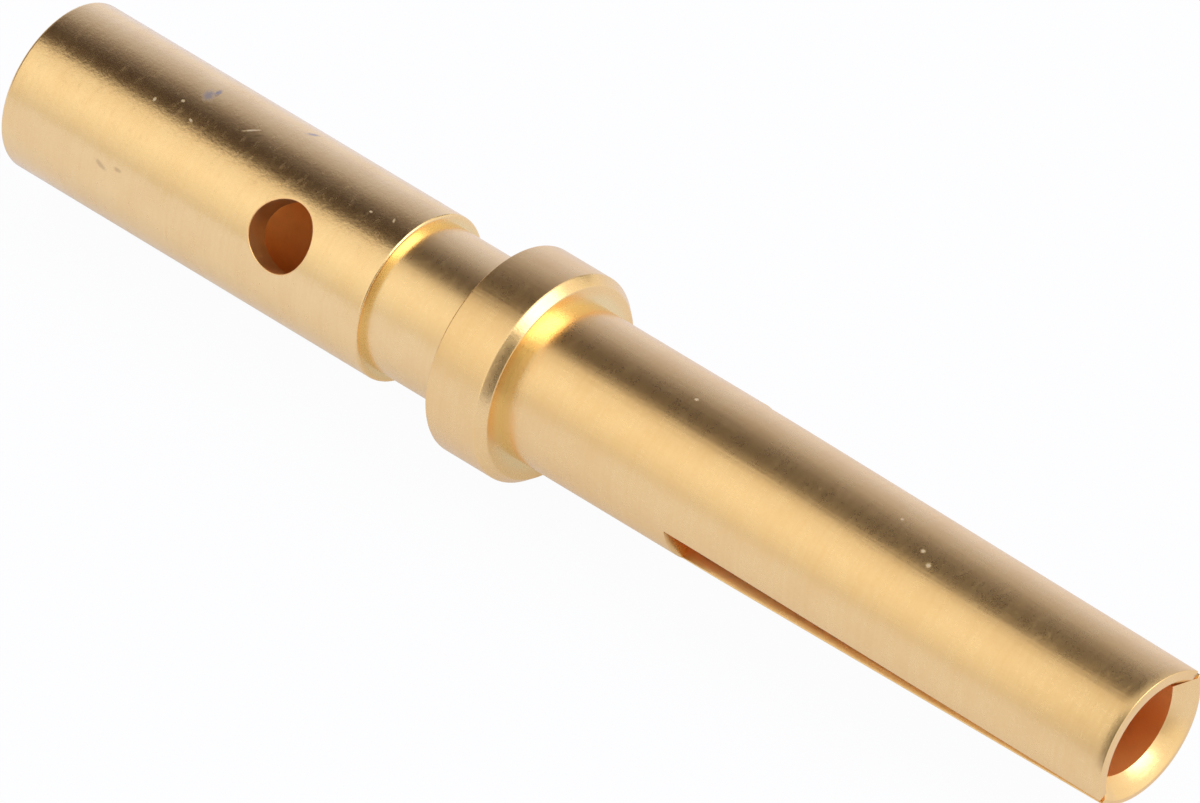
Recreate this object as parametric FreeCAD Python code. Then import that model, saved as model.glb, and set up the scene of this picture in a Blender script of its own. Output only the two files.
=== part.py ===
import FreeCAD, Part
import math
import os

# Crimp socket contact, turned from one bar of copper alloy, drilled, slotted
# and gold plated. Its axis lies along X: the crimp end is at X = 0 and the
# mouth looks along +X. Angles about the axis run from +Y towards +Z. It lies
# on its flange, so the axis is level. All sizes are in millimetres.

# Crimp barrel, a plain tube that is squeezed on the wire
barrel_diameter = 1.73
barrel_length = 4.54
crimp_bore_diameter = 1.17
crimp_bore_web = 0.55
crimp_bore_lead_in = 0.05
barrel_edge_radius = 0.04

# Inspection hole, through one wall of the barrel
hole_diameter = 0.70
hole_to_bore_end = 0.59
hole_clock_deg = 142.3

# Neck between the barrel's square shoulder and the flange: the retaining clip's place
neck_diameter = 1.535
neck_length = 1.065
neck_corner_radius = 0.03

# Flange, the shoulder that stops the contact in its cavity
flange_diameter = 2.15
flange_land = 0.61
flange_edge_radius = 0.02
flange_bevel_length = 0.10
flange_bevel_depth = 0.08

# Socket, a tube whose front part is sawn into two tines
socket_diameter = 1.614
socket_length = 7.355
socket_corner_radius = 0.02
socket_bore_diameter = 1.18
socket_bore_depth = 6.6

# Slot and tines: the tines are pressed in until they all but meet
slot_width = 0.54
slot_length = 5.32
slot_clock_deg = 28.4
bend_length = 0.8
mouth_gap = 0.05

# Mouth: a narrow rim round a conical lead-in
rim_width = 0.08
lead_in_half_angle_deg = 40.0

drill_point_half_angle_deg = 59.0

# Radii and stations along the axis
barrel_r = barrel_diameter / 2
neck_r = neck_diameter / 2
flange_r = flange_diameter / 2
socket_r = socket_diameter / 2
crimp_bore_r = crimp_bore_diameter / 2
socket_bore_r = socket_bore_diameter / 2
bevel_r = flange_r - flange_bevel_depth

flange_x = barrel_length + neck_length
bevel_x = flange_x + flange_land
face_x = bevel_x + flange_bevel_length
mouth_x = face_x + socket_length
slot_end_x = mouth_x - slot_length
crimp_bore_end_x = barrel_length - crimp_bore_web
hole_x = crimp_bore_end_x - hole_to_bore_end
socket_bore_end_x = mouth_x - socket_bore_depth

AXIS_POINT = FreeCAD.Vector(0, 0, 0)
AXIS = FreeCAD.Vector(1, 0, 0)
QUARTER_ARC = math.sqrt(0.5)


def at(x, r):
    """A point of the turned profile, r from the axis."""
    return FreeCAD.Vector(x, r, 0)


def quarter(start, end, centre):
    """A quarter round of the profile from start to end about centre."""
    middle = centre + ((start - centre) + (end - centre)) * QUARTER_ARC
    return Part.Arc(start, middle, end).toShape()


def lathe(*pieces):
    """Spin a profile about the axis: points are joined by lines, edges are kept."""
    edges = []
    last = None
    for piece in pieces:
        if isinstance(piece, Part.Edge):
            first = piece.Vertexes[0].Point
            final = piece.Vertexes[-1].Point
        else:
            first = final = piece
        if last is not None and last.distanceToPoint(first) > 1e-9:
            edges.append(Part.LineSegment(last, first).toShape())
        if isinstance(piece, Part.Edge):
            edges.append(piece)
        last = final
    start = edges[0].Vertexes[0].Point
    edges.append(Part.LineSegment(last, start).toShape())
    return Part.Face(Part.Wire(edges)).revolve(AXIS_POINT, AXIS, 360)


def turned_blank():
    """Everything behind the slot's end, solid, from the crimp end forwards."""
    end_edge = quarter(
        at(0, barrel_r - barrel_edge_radius),
        at(barrel_edge_radius, barrel_r),
        at(barrel_edge_radius, barrel_r - barrel_edge_radius),
    )
    neck_corner = quarter(
        at(flange_x - neck_corner_radius, neck_r),
        at(flange_x, neck_r + neck_corner_radius),
        at(flange_x - neck_corner_radius, neck_r + neck_corner_radius),
    )
    flange_edge = quarter(
        at(flange_x, flange_r - flange_edge_radius),
        at(flange_x + flange_edge_radius, flange_r),
        at(flange_x + flange_edge_radius, flange_r - flange_edge_radius),
    )
    socket_corner = quarter(
        at(face_x, socket_r + socket_corner_radius),
        at(face_x + socket_corner_radius, socket_r),
        at(face_x + socket_corner_radius, socket_r + socket_corner_radius),
    )
    return lathe(
        at(0, 0),
        end_edge,
        at(barrel_length, barrel_r),
        at(barrel_length, neck_r),
        neck_corner,
        flange_edge,
        at(bevel_x, flange_r),
        at(face_x, bevel_r),
        socket_corner,
        at(slot_end_x, socket_r),
        at(slot_end_x, 0),
    )


def drill_point(r):
    """How far the drill's cone reaches past the full bore."""
    return r / math.tan(math.radians(drill_point_half_angle_deg))


def crimp_bore():
    """The blind bore for the wire, with its lead-in and drill point."""
    return lathe(
        at(0, 0),
        at(0, crimp_bore_r + crimp_bore_lead_in),
        at(crimp_bore_lead_in, crimp_bore_r),
        at(crimp_bore_end_x, crimp_bore_r),
        at(crimp_bore_end_x + drill_point(crimp_bore_r), 0),
    )


def socket_bore():
    """The part of the mating bore that lies behind the slot's end."""
    return lathe(
        at(socket_bore_end_x - drill_point(socket_bore_r), 0),
        at(socket_bore_end_x, socket_bore_r),
        at(slot_end_x, socket_bore_r),
        at(slot_end_x, 0),
    )


def inspection_hole():
    """The drill that enters one wall of the barrel and stops in its bore."""
    clock = math.radians(hole_clock_deg)
    outward = FreeCAD.Vector(0, math.cos(clock), math.sin(clock))
    start = FreeCAD.Vector(hole_x, 0, 0)
    return Part.makeCylinder(hole_diameter / 2, barrel_diameter, start, outward)


def tine_section():
    """Cross-section of one tine at the slot's end, above the saw cut."""
    half_slot = slot_width / 2
    outer_y = math.sqrt(socket_r ** 2 - half_slot ** 2)
    inner_y = math.sqrt(socket_bore_r ** 2 - half_slot ** 2)

    def corner(y, z):
        return FreeCAD.Vector(slot_end_x, y, z)

    outside = Part.Arc(corner(outer_y, half_slot), corner(0, socket_r), corner(-outer_y, half_slot))
    inside = Part.Arc(corner(-inner_y, half_slot), corner(0, socket_bore_r), corner(inner_y, half_slot))
    far_cut = Part.LineSegment(corner(-outer_y, half_slot), corner(-inner_y, half_slot))
    near_cut = Part.LineSegment(corner(inner_y, half_slot), corner(outer_y, half_slot))
    edges = [edge.toShape() for edge in (outside, far_cut, inside, near_cut)]
    return Part.Face(Part.Wire(edges))


def pressed_tine():
    """The upper tine: a short bend at the slot's end, then straight to the mouth.

    The bend is a turn about a far centre below the axis. The tine keeps its round
    section, the mouth is faced square, and the lead-in is coned on the tine's own line.
    """
    straight_length = slot_length - bend_length
    bend = (slot_width - mouth_gap) / 2 / (straight_length + bend_length / 2)
    bend_deg = math.degrees(bend)
    bend_radius = bend_length / bend
    bend_centre = FreeCAD.Vector(slot_end_x, 0, -bend_radius)
    bend_axis = FreeCAD.Vector(0, 1, 0)
    forwards = FreeCAD.Vector(math.cos(bend), 0, -math.sin(bend))

    section = tine_section()
    root = section.revolve(bend_centre, bend_axis, bend_deg)
    bent_section = section.copy()
    bent_section.rotate(bend_centre, bend_axis, bend_deg)
    past_mouth = straight_length + socket_r
    tine = root.fuse(bent_section.extrude(forwards * past_mouth))

    room = 2 * socket_diameter
    beyond = Part.makeBox(room, room, room, FreeCAD.Vector(mouth_x, -room / 2, -room / 2))
    tine = tine.cut(beyond)

    line_start = FreeCAD.Vector(slot_end_x, 0, 0)
    line_start = line_start + FreeCAD.Vector(math.sin(bend), 0, math.cos(bend) - 1) * bend_radius
    mouth_centre = line_start + forwards * ((mouth_x - line_start.x) / math.cos(bend))
    lead_in_slope = math.tan(math.radians(lead_in_half_angle_deg))
    lead_in_r = socket_r - rim_width
    cone_tip = mouth_centre - forwards * (lead_in_r / lead_in_slope)
    cone = Part.makeCone(0, 2 * lead_in_r, 2 * lead_in_r / lead_in_slope, cone_tip, forwards)
    return tine.cut(cone)


def contact_body():
    """The whole contact as one solid."""
    body = turned_blank().cut(crimp_bore()).cut(socket_bore())
    tines = []
    for clock_deg in (slot_clock_deg, slot_clock_deg + 180):
        tine = pressed_tine()
        tine.rotate(AXIS_POINT, AXIS, clock_deg)
        tines.append(tine)
    return body.fuse(tines).cut(inspection_hole())


os.makedirs("parts", exist_ok=True)
contact = contact_body()
if len(contact.Solids) != 1 or not contact.isValid():
    raise ValueError("the contact is not one sound solid")
contact.Solids[0].exportStep("parts/contact_body.step")
print("contact_body", round(contact.Volume, 4), "mm3, centre of mass", contact.Solids[0].CenterOfMass)
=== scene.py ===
import math

import bmesh
import bpy
from mathutils import Matrix, Vector


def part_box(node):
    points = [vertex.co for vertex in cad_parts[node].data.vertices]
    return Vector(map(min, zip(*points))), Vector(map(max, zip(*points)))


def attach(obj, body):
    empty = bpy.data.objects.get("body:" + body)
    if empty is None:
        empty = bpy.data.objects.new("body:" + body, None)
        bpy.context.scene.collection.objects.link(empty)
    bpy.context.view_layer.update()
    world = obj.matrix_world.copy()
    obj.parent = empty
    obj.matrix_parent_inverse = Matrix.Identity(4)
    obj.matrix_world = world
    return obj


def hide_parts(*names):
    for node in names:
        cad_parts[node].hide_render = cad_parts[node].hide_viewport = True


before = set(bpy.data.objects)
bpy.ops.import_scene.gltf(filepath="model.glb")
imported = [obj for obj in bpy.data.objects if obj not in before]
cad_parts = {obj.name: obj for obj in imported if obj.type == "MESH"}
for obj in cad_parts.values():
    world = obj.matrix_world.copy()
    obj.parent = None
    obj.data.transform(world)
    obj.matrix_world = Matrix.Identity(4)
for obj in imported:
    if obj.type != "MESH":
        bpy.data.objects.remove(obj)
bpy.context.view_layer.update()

# The turned blank. The contact is one piece of copper alloy bar, turned on an
# automatic lathe: crimp barrel, neck, flange and socket lie on one axis, and a
# drill has opened each end. Sizes are the real ones, along X from the crimp end.
mm = 0.001
barrel_r = 0.865 * mm
barrel_length = 4.54 * mm
barrel_edge = 0.04 * mm
shoulder_edge = 0.03 * mm
crimp_bore_r = 0.585 * mm
crimp_bore_web = 0.55 * mm
crimp_lead_in = 0.05 * mm
neck_r = 0.7675 * mm
neck_length = 1.065 * mm
neck_fillet = 0.03 * mm
flange_r = 1.075 * mm
flange_land = 0.61 * mm
flange_edge = 0.02 * mm
bevel_length = 0.10 * mm
bevel_depth = 0.08 * mm
bevel_edge = 0.011 * mm
socket_r = 0.807 * mm
socket_bore_r = 0.59 * mm
socket_bore_depth = 6.6 * mm
drill_slope = math.tan(math.radians(59))

# A hair is less than any step of the mesh, and points a tenth of it apart are one
hair = 0.001 * mm
same_point = hair / 10

slot_length = 5.32 * mm
slot_half = 0.27 * mm
slot_clock = math.radians(28.4)
bend_length = 0.8 * mm
mouth_gap = 0.05 * mm
rim_width = 0.08 * mm
lead_in_slope = math.tan(math.radians(40))

mouth_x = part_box("contact_body")[1][0]
crimp_bore_end = barrel_length - crimp_bore_web
flange_x = barrel_length + neck_length
face_x = flange_x + flange_land + bevel_length
slot_end = mouth_x - slot_length
bore_bottom = mouth_x - socket_bore_depth

# Where the pressed tine's own line meets the mouth, measured along the tine
straight = mouth_x - slot_end - bend_length
bend = (slot_half - mouth_gap / 2) / (straight + bend_length / 2)
bend_radius = bend_length / bend
bent_reach = mouth_x - slot_end - bend_radius * math.sin(bend)
mouth_along = slot_end + bend_length + bent_reach / math.cos(bend)

# The tines are made a little too long, and the mouth is faced off later
past_mouth = 0.12 * mm
lead_in_r = socket_r - rim_width
cone_start = mouth_along - (lead_in_r - socket_bore_r) / lead_in_slope
cone_end_r = lead_in_r + past_mouth * lead_in_slope

# Rings of the mesh, close together where the tines bend and where the hole is drilled
hole_to_bore_end = 0.59 * mm
hole_x = crimp_bore_end - hole_to_bore_end
patch_half = 0.45 * mm
patch_steps = 30
bend_steps = 8
tine_steps = 76
slot_steps = 16
stations = [slot_end + bend_length * step / bend_steps for step in range(bend_steps + 1)]
around_hole = [hole_x + patch_half * (2 * step / patch_steps - 1) for step in range(patch_steps + 1)]


def profile(bm, corners):
    """Join corners (x, radius, rounding) by lines and round the ones that ask for it."""
    points = [bm.verts.new((x, 0, r)) for x, r, _ in corners]
    for start, end in zip(points, points[1:]):
        bm.edges.new((start, end))
    for point, (_, _, rounding) in zip(points, corners):
        if rounding:
            bmesh.ops.bevel(
                bm, geom=[point], offset=rounding, segments=6, profile=0.5,
                affect="VERTICES", material=-1,
            )


def turn(bm, slot_angle):
    """Spin the profile once round, with lengthwise lines on both edges of the slot."""
    first_clock = slot_clock + slot_angle / 2
    bmesh.ops.rotate(
        bm, verts=bm.verts, cent=(0, 0, 0),
        matrix=Matrix.Rotation(first_clock - math.pi / 2, 3, "X"),
    )
    line = bm.verts[:] + bm.edges[:]
    for angle, steps in 2 * ((math.pi - slot_angle, tine_steps), (slot_angle, slot_steps)):
        spun = bmesh.ops.spin(bm, geom=line, axis=(1, 0, 0), cent=(0, 0, 0), steps=steps, angle=angle)
        line = spun["geom_last"]
    bmesh.ops.remove_doubles(bm, verts=bm.verts, dist=same_point)


outside = bmesh.new()
profile(outside, [
    (crimp_bore_end + crimp_bore_r / drill_slope, 0, 0),
    (crimp_bore_end, crimp_bore_r, 0),
    *[(x, crimp_bore_r, 0) for x in reversed(around_hole)],
    (crimp_lead_in, crimp_bore_r, 0),
    (0, crimp_bore_r + crimp_lead_in, 0),
    (0, barrel_r, barrel_edge),
    *[(x, barrel_r, 0) for x in around_hole],
    (barrel_length, barrel_r, shoulder_edge),
    (barrel_length, neck_r, 0),
    (flange_x, neck_r, neck_fillet),
    (flange_x, flange_r, flange_edge),
    (face_x - bevel_length, flange_r, bevel_edge),
    (face_x, flange_r - bevel_depth, bevel_edge),
    (face_x, socket_r, 0),
    *[(x, socket_r, 0) for x in stations],
    (cone_start, socket_r, 0),
    (mouth_along + past_mouth, socket_r, 0),
])
turn(outside, 2 * math.asin(slot_half / socket_r))

inside = bmesh.new()
profile(inside, [
    (bore_bottom - socket_bore_r / drill_slope, 0, 0),
    (bore_bottom, socket_bore_r, 0),
    *[(x, socket_bore_r, 0) for x in stations],
    (cone_start, socket_bore_r, 0),
    (mouth_along + past_mouth, cone_end_r, 0),
])
turn(inside, 2 * math.asin(slot_half / socket_bore_r))

# The inspection hole, drilled through one wall of the barrel so that the wire can
# be seen in its bore. The drill's circle is laid on the outside and on the bore.
hole_r = 0.35 * mm
hole_clock = math.radians(142.3)
hole_out = Vector((0, math.cos(hole_clock), math.sin(hole_clock)))
hole_side = Vector((1, 0, 0)).cross(hole_out)
hole_rings = 8
patch_turn = math.radians(49)

# How near a point has to be to a surface to count as lying on it
skin = 0.01 * mm


def off_axis(point):
    """A point's distance from the contact's axis."""
    return math.hypot(point.y, point.z)


def drill(bm, surface_r):
    """Open a round hole in one of the barrel's surfaces and give its rim's edges."""
    def on_surface(point):
        return abs(off_axis(point) - surface_r) < skin

    def in_patch(face):
        centre = face.calc_center_median()
        turn_off = math.atan2(centre.dot(hole_side), centre.dot(hole_out))
        return on_surface(centre) and abs(centre.x - hole_x) < patch_half and abs(turn_off) < patch_turn

    patch = [face for face in bm.faces if in_patch(face)]
    bmesh.ops.delete(bm, geom=patch, context="FACES")
    rim = [edge for edge in bm.edges if edge.is_boundary and on_surface(edge.verts[0].co)]
    for rings_left in range(hole_rings, 0, -1):
        ring = bmesh.ops.extrude_edge_only(bm, edges=rim)["geom"]
        rim = [item for item in ring if isinstance(item, bmesh.types.BMEdge) and item.is_boundary]
        for vert in {vert for edge in rim for vert in edge.verts}:
            along = vert.co.x - hole_x
            aside = vert.co.dot(hole_side)
            inwards = 1 + (hole_r / math.hypot(along, aside) - 1) / rings_left
            aside = aside * inwards
            vert.co = hole_out * math.sqrt(surface_r ** 2 - aside ** 2) + hole_side * aside
            vert.co.x = hole_x + along * inwards
    return rim


rims = drill(outside, barrel_r)
rims += drill(outside, crimp_bore_r)
bmesh.ops.bridge_loops(outside, edges=rims)

# The slot and the tines. A saw cuts straight across the socket from its mouth, and
# the two halves are pressed in until they all but meet, which makes them grip.
slot_up = Vector((0, -math.sin(slot_clock), math.cos(slot_clock)))
slot_out = Vector((0, math.cos(slot_clock), math.sin(slot_clock)))


def across_slot(point):
    """How far a point lies from the saw's middle plane."""
    return point.z * math.cos(slot_clock) - point.y * math.sin(slot_clock)


def in_slot(face, wall_r):
    """Whether a face lies in the sector that the saw takes out of a wall of this radius."""
    centre = face.calc_center_median()
    return centre.x > slot_end and abs(across_slot(centre)) / off_axis(centre) < slot_half / wall_r


for shell, wall_r in ((outside, socket_r), (inside, socket_bore_r)):
    cut = [face for face in shell.faces if in_slot(face, wall_r)]
    bmesh.ops.delete(shell, geom=cut, context="FACES")

# Beside the lead-in the saw's wall stays flat
for edge in inside.edges:
    start, end = sorted(edge.verts, key=lambda vert: vert.co.x)
    on_cone = abs(start.co.x - cone_start) < hair and end.co.x > cone_start + hair
    if edge.is_boundary and on_cone:
        across = math.copysign(slot_half, across_slot(end.co))
        outwards = math.copysign(math.sqrt(cone_end_r ** 2 - across ** 2), end.co.dot(slot_out))
        end.co = slot_up * across + slot_out * outwards + Vector((end.co.x, 0, 0))

# The far tine's lead-in is cut wider and square to the axis, so its rim is thinner
far_rim = 0.045 * mm
far_lead_in = 0.16 * mm
far_slope = (socket_r - far_rim - socket_bore_r) / far_lead_in
far_end_r = socket_bore_r + far_slope * (far_lead_in + past_mouth)
for vert in inside.verts:
    height = -across_slot(vert.co)
    if height > 0 and vert.co.x > cone_start - hair:
        along = mouth_along - far_lead_in
        if vert.co.x > cone_start + hair:
            along = mouth_along + past_mouth
            if height > slot_half + hair:
                height = height * far_end_r / cone_end_r
            level = math.copysign(math.sqrt(far_end_r ** 2 - height ** 2), vert.co.dot(slot_out))
            vert.co = slot_out * level - slot_up * height
        vert.co.x = along - height * math.tan(bend)


def pressed(point):
    """Where a point of the straight tube lies once its tine is pressed in."""
    along = point.x - slot_end
    side = math.copysign(1, across_slot(point))
    height = abs(across_slot(point))
    turned = min(along, bend_length) / bend_radius
    ahead = max(along - bend_length, 0)
    lifted = (bend_radius + height) * math.cos(turned) - bend_radius - ahead * math.sin(turned)
    reach = (bend_radius + height) * math.sin(turned) + ahead * math.cos(turned)
    moved = slot_out * point.dot(slot_out) + slot_up * (side * lifted)
    moved.x = slot_end + reach
    return moved


for shell in (outside, inside):
    for vert in shell.verts:
        if vert.co.x - slot_end > same_point:
            vert.co = pressed(vert.co)
    bmesh.ops.bisect_plane(
        shell, geom=shell.verts[:] + shell.edges[:] + shell.faces[:],
        plane_co=(mouth_x, 0, 0), plane_no=(1, 0, 0), clear_outer=True, dist=same_point / 10,
    )

bore_mesh = bpy.data.meshes.new("bore")
inside.to_mesh(bore_mesh)
inside.free()
outside.from_mesh(bore_mesh)
bpy.data.meshes.remove(bore_mesh)
bmesh.ops.bridge_loops(outside, edges=[edge for edge in outside.edges if edge.is_boundary])
bmesh.ops.recalc_face_normals(outside, faces=outside.faces)

# The corners. Tumbling breaks every one that the tools left. It rounds the hole's
# lip most, and the mouth's outer edge and the long edges of the slot more than the rest.
hole_lip = 0.03 * mm
slot_lip = 0.014 * mm
mouth_edge = 0.018 * mm
broken_edge = 0.007 * mm
sharp_turn = math.radians(33)
mid_wall = (socket_r + socket_bore_r) / 2


def middle_of(edge):
    """The point half way along an edge."""
    return (edge.verts[0].co + edge.verts[1].co) / 2


def on_hole_lip(edge):
    """Whether an edge lies where the drill entered the barrel."""
    middle = middle_of(edge)
    return abs(middle.x - hole_x) < hole_r + hair and off_axis(middle) > barrel_r - 2 * hair


def on_slot_lip(edge):
    """Whether an edge is a long outer one of the saw's cut."""
    middle = middle_of(edge)
    lengthwise = abs(edge.verts[0].co.x - edge.verts[1].co.x) > skin
    return lengthwise and middle.x > slot_end and abs(middle.dot(slot_out)) > mid_wall


def on_mouth_edge(edge):
    """Whether an edge is an outer one of the flat face at the mouth."""
    middle = middle_of(edge)
    height_unpressed = abs(across_slot(middle)) + slot_half - mouth_gap / 2
    outer = math.hypot(middle.dot(slot_out), height_unpressed) > socket_r - skin
    return middle.x > mouth_x - same_point and outer


def sharp_edges(bm):
    """The edges across which a surface turns sharply."""
    return [edge for edge in bm.edges if edge.is_manifold and edge.calc_face_angle() > sharp_turn]


def standing_edges(bm):
    """The sharp edges that stand out, not the ones at the root of a step."""
    return [edge for edge in sharp_edges(bm) if edge.is_convex]


def round_over(bm, edges, offset, segments):
    """Round sharp edges off by the offset."""
    bmesh.ops.bevel(
        bm, geom=edges, offset=offset, segments=segments, profile=0.5,
        affect="EDGES", material=-1, clamp_overlap=True,
    )


def as_object(bm, name):
    """Make a finished shape an object in the scene."""
    mesh = bpy.data.meshes.new(name)
    bm.to_mesh(mesh)
    bm.free()
    made = bpy.data.objects.new(name, mesh)
    bpy.context.collection.objects.link(made)
    return made


round_over(outside, [edge for edge in standing_edges(outside) if on_hole_lip(edge)], hole_lip, 5)
round_over(outside, [edge for edge in standing_edges(outside) if on_slot_lip(edge)], slot_lip, 3)
round_over(outside, [edge for edge in standing_edges(outside) if on_mouth_edge(edge)], mouth_edge, 3)
round_over(outside, standing_edges(outside), broken_edge, 2)
for edge in sharp_edges(outside):
    edge.smooth = False
contact = as_object(outside, "contact")
contact.data.shade_smooth()
flat_faces = contact.modifiers.new("flat_faces", "WEIGHTED_NORMAL")
flat_faces.keep_sharp = True

# The finish: gold, plated in a barrel. It is satin and finely mottled, it keeps the
# lathe's rings and a few lengthwise draws, and it has been handled.
gold_colour = (0.97, 0.69, 0.33, 1)
deep_gold = (0.90, 0.58, 0.24, 1)
# A paler gold, painted where two surfaces mirror each other to tone down their reflection
painted_reflection_gold = (0.905, 0.69, 0.35, 1)
# Redder golds painted as shade inside the socket bore and the crimp bore
bore_shade_gold = (0.95, 0.47, 0.15, 1)
crimp_bore_shade_gold = (0.97, 0.59, 0.25, 1)
dull_colour = (0.42, 0.27, 0.14, 1)
smear_colour = (0.22, 0.20, 0.24, 1)
speck_colour = (0.60, 0.52, 0.40, 1)
grain_height = 0.0017 * mm


class Shade:
    """A socket in a material. Sums on it add Math nodes."""

    def __init__(self, tree, socket=None):
        self.tree = tree
        self.socket = socket

    def node(self, kind, settings=None, inputs=None, output=0):
        """Add a node, set it, give its sockets their values or links, and return an output."""
        made = self.tree.nodes.new(kind)
        for name, value in (settings or {}).items():
            if name == "stops":
                stops = made.color_ramp.elements
                while len(stops) < len(value):
                    stops.new(1)
                for stop, (position, colour) in zip(stops, value):
                    stop.position = position
                    stop.color = colour
            else:
                setattr(made, name, value)
        for name, value in (inputs or {}).items():
            if isinstance(value, Shade):
                self.tree.links.new(value.socket, made.inputs[name])
            else:
                made.inputs[name].default_value = value
        return Shade(self.tree, made.outputs[output])

    def math(self, operation, *others):
        """Work on this value, with any others after it."""
        return self.node("ShaderNodeMath", {"operation": operation}, dict(enumerate((self, *others))))

    def __add__(self, other):
        return self.math("ADD", other)

    def __sub__(self, other):
        return self.math("SUBTRACT", other)

    def __rsub__(self, other):
        return self.node("ShaderNodeMath", {"operation": "SUBTRACT"}, {0: other, 1: self})

    def __mul__(self, other):
        return self.math("MULTIPLY", other)

    __radd__ = __add__
    __rmul__ = __mul__

    def part(self, axis):
        """The X, Y or Z of this vector."""
        return self.node("ShaderNodeSeparateXYZ", {}, {"Vector": self}, output=axis)

    def dot(self, other):
        """This vector's length along another one."""
        settings = {"operation": "DOT_PRODUCT"}
        return self.node("ShaderNodeVectorMath", settings, {0: self, 1: other}, output="Value")

    def length(self):
        """This vector's length."""
        return self.node("ShaderNodeVectorMath", {"operation": "LENGTH"}, {0: self}, output="Value")

    def ramp(self, low, high):
        """From 0 at low to 1 at high, held outside them."""
        limits = {"From Min": low, "From Max": high, "Value": self}
        return self.node("ShaderNodeMapRange", {"interpolation_type": "SMOOTHSTEP"}, limits)

    def scaled(self, x, y, z):
        """These coordinates, in millimetres, stretched along each axis."""
        stretch = {"Vector": self, "Scale": (x / mm, y / mm, z / mm)}
        return self.node("ShaderNodeMapping", {}, stretch)

    def noise(self, detail=2.0, roughness=0.5):
        """Cloudy noise, from about 0 to 1."""
        settings = {"Vector": self, "Scale": 1.0, "Detail": detail, "Roughness": roughness}
        return self.node("ShaderNodeTexNoise", {}, settings)


gold = bpy.data.materials.new("gold_plate")
gold.use_nodes = True
tree = gold.node_tree
shader = tree.nodes["Principled BSDF"]
place = Shade(tree).node("ShaderNodeTexCoord", output="Object")
facing = Shade(tree).node("ShaderNodeTexCoord", output="Normal")

mottle = place.scaled(28, 28, 28).noise(3.0, 0.6)
clouds = place.scaled(3.1, 3.1, 3.1).noise(3.0)
rings = place.scaled(26, 0.35, 0.35).noise(3.0, 0.65)
wide_rings = place.scaled(6.5, 0.3, 0.3).noise(2.0)
draws = place.scaled(0.55, 17, 17).noise(2.0, 0.6)
grain = place.scaled(14, 7, 7).noise(3.0, 0.6)

# Where a point lies, in millimetres: along the axis, from it, and beside the hole
along_axis = place.part("X") * (1 / mm)
across_axis = Shade(tree).node(
    "ShaderNodeVectorMath", {"operation": "MULTIPLY"}, {0: place, 1: (0, 1 / mm, 1 / mm)},
)
from_axis = across_axis.length()
past_hole = along_axis - hole_x / mm
beside_hole = across_axis.dot(hole_side)
from_hole = (past_hole * past_hole + beside_hole * beside_hole).math("SQRT")
past_barrel = along_axis.ramp(barrel_length / mm - 0.02, barrel_length / mm)
past_flange = along_axis.ramp(flange_x / mm - 0.1, flange_x / mm)

# The bores and the drilled hole are rougher than the tumbled outside, and their redder
# gold is painted shade of the light bouncing inside them; the lead-in at the mouth,
# which faces forwards, is left as bright
faces_axis = 1 - across_axis.dot(facing).ramp(-0.35, -0.15)
in_bore = faces_axis * (1 - facing.part("X").ramp(0.3, 0.5))
on_hole_side = across_axis.dot(hole_out).ramp(0.3, 0.4)
in_hole = (1 - from_hole.ramp(hole_r / mm, hole_r / mm + 0.02)) * on_hole_side
drilled = in_bore.math("MAXIMUM", in_hole)


def mixed(factor, below, above):
    """A colour between two colours, on the Mix node's sockets for colours."""
    sockets = {"Factor": factor, 6: below, 7: above}
    return Shade(tree).node("ShaderNodeMix", {"data_type": "RGBA"}, sockets, output=2)


def mark(x, clock, length, width, turn_angle, radius=barrel_r / mm):
    """A small mark on the round surface, ragged at its edge: 1 within it, 0 outside."""
    clock = math.radians(clock)
    turn_angle = math.radians(turn_angle)
    up = Vector((0, math.cos(clock), math.sin(clock)))
    round_way = Vector((0, -math.sin(clock), math.cos(clock)))
    main = Vector((1, 0, 0)) * math.cos(turn_angle) + round_way * math.sin(turn_angle)
    axes = Matrix((main, up.cross(main), up)).transposed()
    centre = up * radius * mm + Vector((x * mm, 0, 0))
    depth = 0.2 * mm
    local = Shade(tree).node("ShaderNodeMapping", {"vector_type": "TEXTURE"}, {
        "Vector": place, "Location": centre, "Rotation": axes.to_euler(),
        "Scale": (length / 2 * mm, width / 2 * mm, depth),
    })
    return 1 - (local.length() + mottle * 1.4 - 0.7).ramp(0.3, 1.5)


def marks(*places):
    """Several marks as one."""
    return sum(mark(*values) for values in places)


def at_root(x, height, foot_r):
    """Where a square step and the neck or socket in front of it mirror each other, which gets a painted
    reflection tone.
    """
    reach = height * 0.65
    at_face = along_axis.ramp((x - 0.02 * mm) / mm, (x - 0.005 * mm) / mm)
    ahead = along_axis.ramp((x + reach * 0.8) / mm, (x + reach * 1.2) / mm)
    near_axis = 1 - from_axis.ramp((foot_r + height * 0.2) / mm, (foot_r + height * 0.8) / mm)
    return (at_face - ahead) * near_axis


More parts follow.
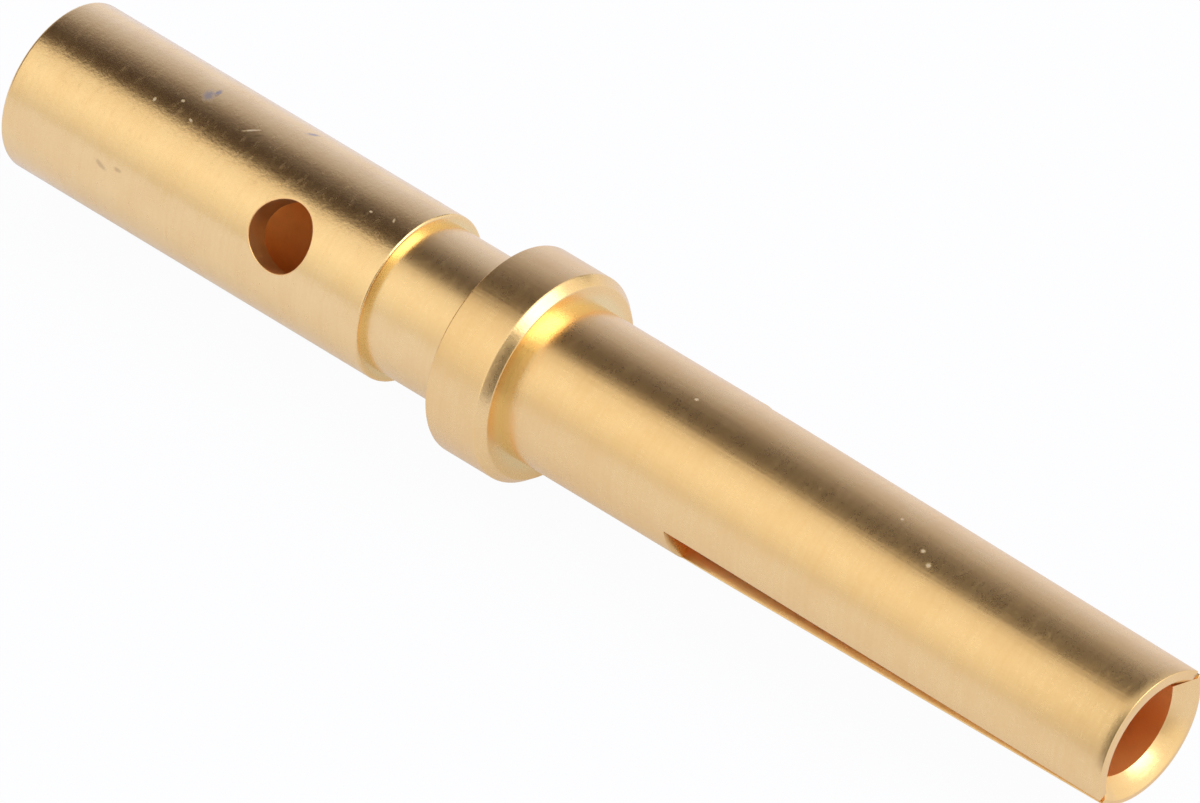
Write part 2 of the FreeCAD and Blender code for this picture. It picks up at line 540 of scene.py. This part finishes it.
# Where it has been handled: a grey-blue smear, pale specks, a fine scratch and dull
# spots. The values are as mark() takes them, in mm and degrees
smear = marks(
    (1.81, 86, 0.18, 0.12, 60),
    (1.84, 79, 0.12, 0.05, 75),
    (2.84, 64, 0.13, 0.06, -60),
)
specks = marks(
    (2.455, 92.2, 0.16, 0.022, -44),
    (1.44, 109, 0.05, 0.03, 80),
    (1.68, 100, 0.035, 0.03, 0),
    (1.90, 109, 0.05, 0.025, 30),
    (10.93, 97, 0.045, 0.04, 0, 0.72),
    (11.08, 104.5, 0.05, 0.05, 0, 0.72),
    (10.51, 83, 0.035, 0.035, 0, 0.74),
    (8.04, 91, 0.04, 0.035, 0, socket_r / mm),
    (4.30, 96, 0.05, 0.02, 60),
    (4.05, 99, 0.03, 0.02, 0),
)
spots = marks(
    (1.26, 163, 0.14, 0.05, 20),
    (1.46, 160, 0.09, 0.04, 0),
    (2.20, 112, 0.08, 0.025, 35),
    (2.55, 93.5, 0.10, 0.02, -44),
    (1.86, 82, 0.06, 0.025, 80),
)

tone = clouds.ramp(0.3, 0.75) * 0.45 + rings.ramp(0.35, 0.7) * 0.3 + mottle.ramp(0.3, 0.7) * 0.25
# Painted reflection: a paler gold at the roots of the steps, to tone down their double reflection
barrel_root_reflection = at_root(barrel_length, barrel_r - neck_r, neck_r)
flange_root_reflection = at_root(face_x, flange_r - bevel_depth - socket_r, socket_r)
plating = mixed(tone * 0.55 + past_flange * 0.30, gold_colour, deep_gold)
plating = mixed(barrel_root_reflection, plating, painted_reflection_gold)
plating = mixed(flange_root_reflection, plating, painted_reflection_gold)
# Painted shade: a redder gold inside the bores and the hole
plating = mixed(drilled, plating, mixed(past_barrel, crimp_bore_shade_gold, bore_shade_gold))
plating = mixed(spots * 0.45, plating, dull_colour)
plating = mixed(smear * 0.85, plating, smear_colour)
colour = mixed(specks * 0.7, plating, speck_colour)

# The barrel has more of a grain and is glossier between it than what lies past it
metallic = 1 - smear * 0.5 - specks * 0.45
roughness = 0.12 + mottle * 0.09 + clouds * 0.05 + wide_rings * 0.05 + past_barrel * 0.07
roughness = roughness + drilled * 0.22 + specks * 0.2
roughness = roughness + grain.ramp(0.5, 0.8) * (0.13 - past_barrel * 0.08)
relief = mottle * (0.9 - past_barrel * 0.65) + rings * 0.45 + draws * (0.2 + past_flange * 0.45)
relief = relief + grain * (1.1 - past_barrel * 0.4)
normal = Shade(tree).node(
    "ShaderNodeBump", {}, {"Height": relief, "Distance": grain_height, "Strength": 1.0},
)
finish = {"Base Color": colour, "Roughness": roughness, "Normal": normal, "Metallic": metallic}
for name, value in finish.items():
    tree.links.new(value.socket, shader.inputs[name])
contact.data.materials.append(gold)
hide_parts("contact_body")
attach(contact, "root")

# The floor is a sheet of pale card. It runs on far behind, turns white in the
# light, and keeps the contact's soft shadow.
floor_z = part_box("contact_body")[0][2]
floor_half = 1.5
floor_colour = (0.56, 0.61, 0.90, 1)


def flat_stage(name, corners):
    """A flat four-cornered sheet that belongs to the studio."""
    bm = bmesh.new()
    bm.faces.new([bm.verts.new(corner) for corner in corners])
    sheet = as_object(bm, name)
    return sheet


def stage_material(sheet, name):
    """Give a sheet an empty material, and return a start for its nodes and its surface."""
    made = bpy.data.materials.new(name)
    made.use_nodes = True
    made.node_tree.nodes.clear()
    output = made.node_tree.nodes.new("ShaderNodeOutputMaterial")
    sheet.data.materials.append(made)
    return Shade(made.node_tree), output.inputs["Surface"]


floor = flat_stage("floor", [
    (-floor_half, -floor_half, floor_z), (floor_half, -floor_half, floor_z),
    (floor_half, floor_half, floor_z), (-floor_half, floor_half, floor_z),
])
shade, surface = stage_material(floor, "floor_card")
lit = shade.node("ShaderNodeBsdfDiffuse", {}, {"Color": floor_colour})
white = shade.node("ShaderNodeEmission", {}, {"Color": (1, 1, 1, 1), "Strength": 1.0})
seen = shade.node("ShaderNodeLightPath", output="Is Camera Ray")
glossy = shade.node("ShaderNodeLightPath", output="Is Glossy Ray")
through = shade.node("ShaderNodeLightPath", output="Is Transmission Ray")
whitened = seen * 0.96 + (glossy + through) * 0.5
blend = shade.node("ShaderNodeMixShader", {}, {"Fac": whitened, 1: lit, 2: white})
shade.tree.links.new(blend.socket, surface)

# The studio: a white room. The camera looks back along the contact, so its round
# parts mirror what lies behind the crimp end, and a half round tent of soft card
# there gives them their bright and dark bands. Only the metal sees the cards.
tent_r = 80 * mm
tent_x = (-0.30, -0.006)
tent_steps = 48

# Tones by the angle from straight up in degrees, which is below 0 on the camera's side
tent_tones = [
    (-90, (0.70, 0.69, 0.72)),
    (-72, (0.90, 0.89, 0.90)),
    (-46, (1.07, 1.06, 1.05)),
    (-22, (0.95, 0.93, 0.92)),
    (-12, (0.80, 0.75, 0.70)),
    (-1, (0.09, 0.065, 0.05)),
    (18, (0.05, 0.036, 0.036)),
    (38, (0.22, 0.20, 0.23)),
    (54, (0.47, 0.475, 0.60)),
    (90, (0.78, 0.84, 1.18)),
]


def glow_for_metal(sheet, shade, surface, tone):
    """Let a card glow in its tone, and leave it to the metal's reflections alone."""
    glow = shade.node("ShaderNodeEmission", {}, {"Color": tone, "Strength": 1.0})
    shade.tree.links.new(glow.socket, surface)
    sheet.visible_camera = False
    sheet.visible_diffuse = False
    sheet.visible_shadow = False


def card(name, tone, corners):
    """A flat card of one tone, with its corners in millimetres."""
    sheet = flat_stage(name, [(x * mm, y * mm, z * mm) for x, y, z in corners])
    shade, surface = stage_material(sheet, name)
    glow_for_metal(sheet, shade, surface, (*tone, 1))


bm = bmesh.new()
ends = [bm.verts.new((x, -tent_r, 0)) for x in tent_x]
side = bm.edges.new(ends)
bmesh.ops.spin(
    bm, geom=ends + [side], axis=(-1, 0, 0), cent=(0, 0, 0), steps=tent_steps, angle=math.pi,
)
tent = as_object(bm, "tent")
shade, surface = stage_material(tent, "tent")
tent_place = shade.node("ShaderNodeTexCoord", output="Object")
lean = tent_place.part("Y").math("ARCTAN2", tent_place.part("Z")) * (1 / math.pi) + 0.5
stops = [((angle + 90) / 180, (*tone, 1)) for angle, tone in tent_tones]
banded = shade.node("ShaderNodeValToRGB", {"stops": stops}, {"Fac": lean})
glow_for_metal(tent, shade, surface, banded)

# Flat cards: one close beside the mouth, one far in front of it, one behind the
# contact and one across the tent
card("front_card", (0.02, 0.015, 0.01), [
    (11.8, -8.3, -0.9), (17.6, -8.3, -0.9), (17.6, -3.2, 8.5), (11.8, -3.2, 8.5),
])
card("grey_card", (0.62, 0.58, 0.56), [
    (35, -70, -0.9), (80, -45, -0.9), (80, -36, 42), (35, -50, 55),
])
card("back_card", (0.05, 0.035, 0.03), [
    (3, 55, 10), (19, 55, 10), (19, 55, 36), (3, 55, 36),
])
card("end_card", (0.26, 0.21, 0.17), [
    (-100, -80, -1), (-100, 80, -1), (-100, 80, 80), (-100, -80, 80),
])

lamp_size = (0.20, 0.15)
lamp_radiance = 2.9
lamp_distance = 0.28
lamp_data = bpy.data.lights.new("softbox", "AREA")
lamp_data.shape = "RECTANGLE"
lamp_data.size = lamp_size[0]
lamp_data.size_y = lamp_size[1]
lamp_data.energy = lamp_radiance * math.pi * lamp_data.size * lamp_data.size_y
lamp = bpy.data.objects.new("softbox", lamp_data)
bpy.context.collection.objects.link(lamp)
lamp.location = Vector((0.60, 0.24, 0.76)).normalized() * lamp_distance
lamp.rotation_mode = "QUATERNION"
lamp.rotation_quaternion = lamp.location.to_track_quat("Z", "Y")

world = bpy.data.worlds.new("white_room")
bpy.context.scene.world = world
world.use_nodes = True
room = world.node_tree.nodes["Background"]
room.inputs["Color"].default_value = (1, 1, 1, 1)
room.inputs["Strength"].default_value = 1.0
bpy.context.scene.view_settings.view_transform = "Standard"

# The view of the photograph: a long lens looks down on the contact from in front of
# its mouth, and the flange's place in the picture sets the aim. With a lens much
# longer than this, the other views would stand too far off and clip the contact.
photo_size = (1200, 803)
photo_px_per_mm = 108.4
flange_px = (560.3, 383.2)
camera_azimuth = math.radians(42.9)
camera_elevation = math.radians(40.3)
lens = 1150

camera_level = math.cos(camera_elevation)
camera_back = Vector((
    math.sin(camera_azimuth) * camera_level,
    -math.cos(camera_azimuth) * camera_level,
    math.sin(camera_elevation),
))
camera_right = Vector((math.cos(camera_azimuth), math.sin(camera_azimuth), 0))
camera_up = camera_back.cross(camera_right)
px = mm / photo_px_per_mm
aim = Vector((face_x, 0, 0))
aim = aim + camera_right * (photo_size[0] / 2 - flange_px[0]) * px
aim = aim - camera_up * (photo_size[1] / 2 - flange_px[1]) * px
camera = bpy.data.objects.new("camera", bpy.data.cameras.new("camera"))
bpy.context.collection.objects.link(camera)
bpy.context.scene.camera = camera
camera.data.lens = lens
camera_distance = photo_size[0] * px * lens / camera.data.sensor_width
camera.location = aim + camera_back * camera_distance
camera.rotation_mode = "QUATERNION"
camera.rotation_quaternion = camera_back.to_track_quat("Z", "Y")
camera.data.clip_start = camera_distance / 10
camera.data.clip_end = camera_distance * 10
